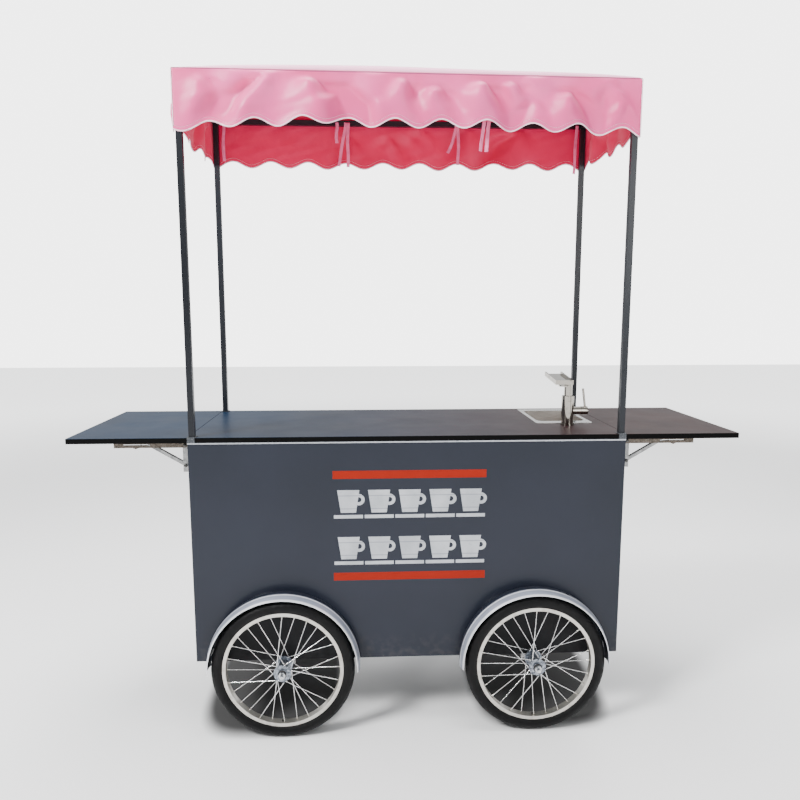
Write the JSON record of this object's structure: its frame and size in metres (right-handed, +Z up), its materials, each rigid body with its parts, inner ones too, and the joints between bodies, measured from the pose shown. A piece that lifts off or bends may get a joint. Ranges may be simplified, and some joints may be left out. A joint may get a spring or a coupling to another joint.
{
  "type": "push vending cart",
  "caption": "Push vending cart with a steel cabinet on four spoked wheels, folding side leaves, a small sink with a tap and a scalloped fabric canopy on posts.",
  "frame": {"origin": "on the ground, under the middle of the cart", "axes": "+X along the cart to its right as the customer sees it, +Y from the customer's side to the worker's side, +Z up"},
  "size_m": [2.3, 0.819, 2.2242],
  "materials": {
    "frame_paint": "satin",
    "panel_paint": "gloss",
    "galvanised": "satin",
    "track_alloy": "satin",
    "board": "satin",
    "trim_strip": "satin",
    "canopy_fabric": "satin",
    "ribbon": "matte",
    "sink_steel": "satin",
    "tap_steel": "satin",
    "pipe_plastic": "gloss",
    "tank_plastic": "matte",
    "cap_plastic": "gloss",
    "pump_plastic": "matte",
    "decal_vinyl": "satin",
    "fender_silver": "gloss",
    "bracket_steel": "satin",
    "tyre_rubber": "matte",
    "rim_alloy": "satin",
    "spoke_chrome": "gloss"
  },
  "bodies": {
    "root": {"body_frame": "frame_paint", "canopy_top_frame": "frame_paint", "axle_brackets": "frame_paint", "post_front_left": "frame_paint", "post_front_right": "frame_paint", "post_rear_left": "frame_paint", "post_rear_right": "frame_paint", "front_panel": "panel_paint", "left_panel": "panel_paint", "right_panel": "panel_paint", "rear_panel": "panel_paint", "floor_panel": "galvanised", "post_collars": "galvanised", "axles": "galvanised", "axle_nuts": "galvanised", "door_tracks": "track_alloy", "worktop": "board", "worktop_trim": "trim_strip", "canopy_cover": "canopy_fabric", "canopy_ties": "ribbon", "sink_bowl": "sink_steel", "sink_strainer": "sink_steel", "tap_body": "tap_steel", "drain_pipe": "pipe_plastic", "fresh_water_tank": "tank_plastic", "waste_water_tank": "tank_plastic", "tank_cap": "cap_plastic", "water_pump": "pump_plastic", "front_decals": "decal_vinyl", "fender_stays": "fender_silver", "fender_front_left": "fender_silver", "fender_front_right": "fender_silver", "fender_rear_left": "fender_silver", "fender_rear_right": "fender_silver", "left_wall_arms": "bracket_steel", "right_wall_arms": "bracket_steel"},
    "left_leaf_body": {"left_leaf": "board", "left_shelf_arms": "bracket_steel"},
    "left_strut_body": {"left_struts": "bracket_steel"},
    "left_lever_body": {"left_release_levers": "bracket_steel"},
    "left_door_body": {"left_door": "panel_paint"},
    "right_leaf_body": {"right_leaf": "board", "right_shelf_arms": "bracket_steel"},
    "right_strut_body": {"right_struts": "bracket_steel"},
    "right_lever_body": {"right_release_levers": "bracket_steel"},
    "right_door_body": {"right_door": "panel_paint"},
    "spout_body": {"tap_spout": "tap_steel"},
    "lever_body": {"tap_lever": "tap_steel"},
    "front_left_wheel": {"front_left_tyre": "tyre_rubber", "front_left_rim": "rim_alloy", "front_left_laced_hub": "spoke_chrome"},
    "front_right_wheel": {"front_right_tyre": "tyre_rubber", "front_right_rim": "rim_alloy", "front_right_laced_hub": "spoke_chrome"},
    "rear_left_wheel": {"rear_left_tyre": "tyre_rubber", "rear_left_rim": "rim_alloy", "rear_left_laced_hub": "spoke_chrome"},
    "rear_right_wheel": {"rear_right_tyre": "tyre_rubber", "rear_right_rim": "rim_alloy", "rear_right_laced_hub": "spoke_chrome"}
  },
  "joints": [
    {"name": "left_leaf_fold", "type": "hinge", "parent": "root", "child": "left_leaf_body", "pos_m": [-0.765, 0, 1.025], "axis": [0, -1, 0], "range_deg": [0, 90]},
    {"name": "left_strut_swing", "type": "hinge", "parent": "root", "child": "left_strut_body", "pos_m": [-0.765, 0, 0.954], "axis": [0, -1, 0], "range_deg": [0, 120.47]},
    {"name": "left_release", "type": "hinge", "parent": "left_leaf_body", "child": "left_lever_body", "pos_m": [-0.91166, 0, 1.023], "axis": [0, -1, 0], "range_deg": [-10, 4]},
    {"name": "right_leaf_fold", "type": "hinge", "parent": "root", "child": "right_leaf_body", "pos_m": [0.765, 0, 1.025], "axis": [0, 1, 0], "range_deg": [0, 90]},
    {"name": "right_strut_swing", "type": "hinge", "parent": "root", "child": "right_strut_body", "pos_m": [0.765, 0, 0.954], "axis": [0, 1, 0], "range_deg": [0, 120.47]},
    {"name": "right_release", "type": "hinge", "parent": "right_leaf_body", "child": "right_lever_body", "pos_m": [0.91166, 0, 1.023], "axis": [0, 1, 0], "range_deg": [-10, 4]},
    {"name": "left_door_slide", "type": "slide", "parent": "root", "child": "left_door_body", "axis": [1, 0, 0], "range_m": [0, 0.6]},
    {"name": "right_door_slide", "type": "slide", "parent": "root", "child": "right_door_body", "axis": [-1, 0, 0], "range_m": [0, 0.6]},
    {"name": "spout_swivel", "type": "hinge", "parent": "root", "child": "spout_body", "pos_m": [0.598, -0.105, 1.164], "axis": [0, 0, 1], "range_deg": [-70, 70]},
    {"name": "tap_lever_turn", "type": "hinge", "parent": "root", "child": "lever_body", "pos_m": [0.66, -0.105, 1.108], "axis": [1, 0, 0], "range_deg": [-30, 30]},
    {"name": "front_left_roll", "type": "hinge", "parent": "root", "child": "front_left_wheel", "pos_m": [-0.441, -0.346, 0.2475], "axis": [0, 1, 0], "continuous": true},
    {"name": "front_right_roll", "type": "hinge", "parent": "root", "child": "front_right_wheel", "pos_m": [0.441, -0.346, 0.2475], "axis": [0, 1, 0], "continuous": true},
    {"name": "rear_left_roll", "type": "hinge", "parent": "root", "child": "rear_left_wheel", "pos_m": [-0.441, 0.346, 0.2475], "axis": [0, 1, 0], "continuous": true},
    {"name": "rear_right_roll", "type": "hinge", "parent": "root", "child": "rear_right_wheel", "pos_m": [0.441, 0.346, 0.2475], "axis": [0, 1, 0], "continuous": true}
  ],
  "couplings": [
    {"joint": "left_strut_swing", "follows": "left_leaf_fold", "ratio": 1.3386},
    {"joint": "right_strut_swing", "follows": "right_leaf_fold", "ratio": 1.3386}
  ]
}
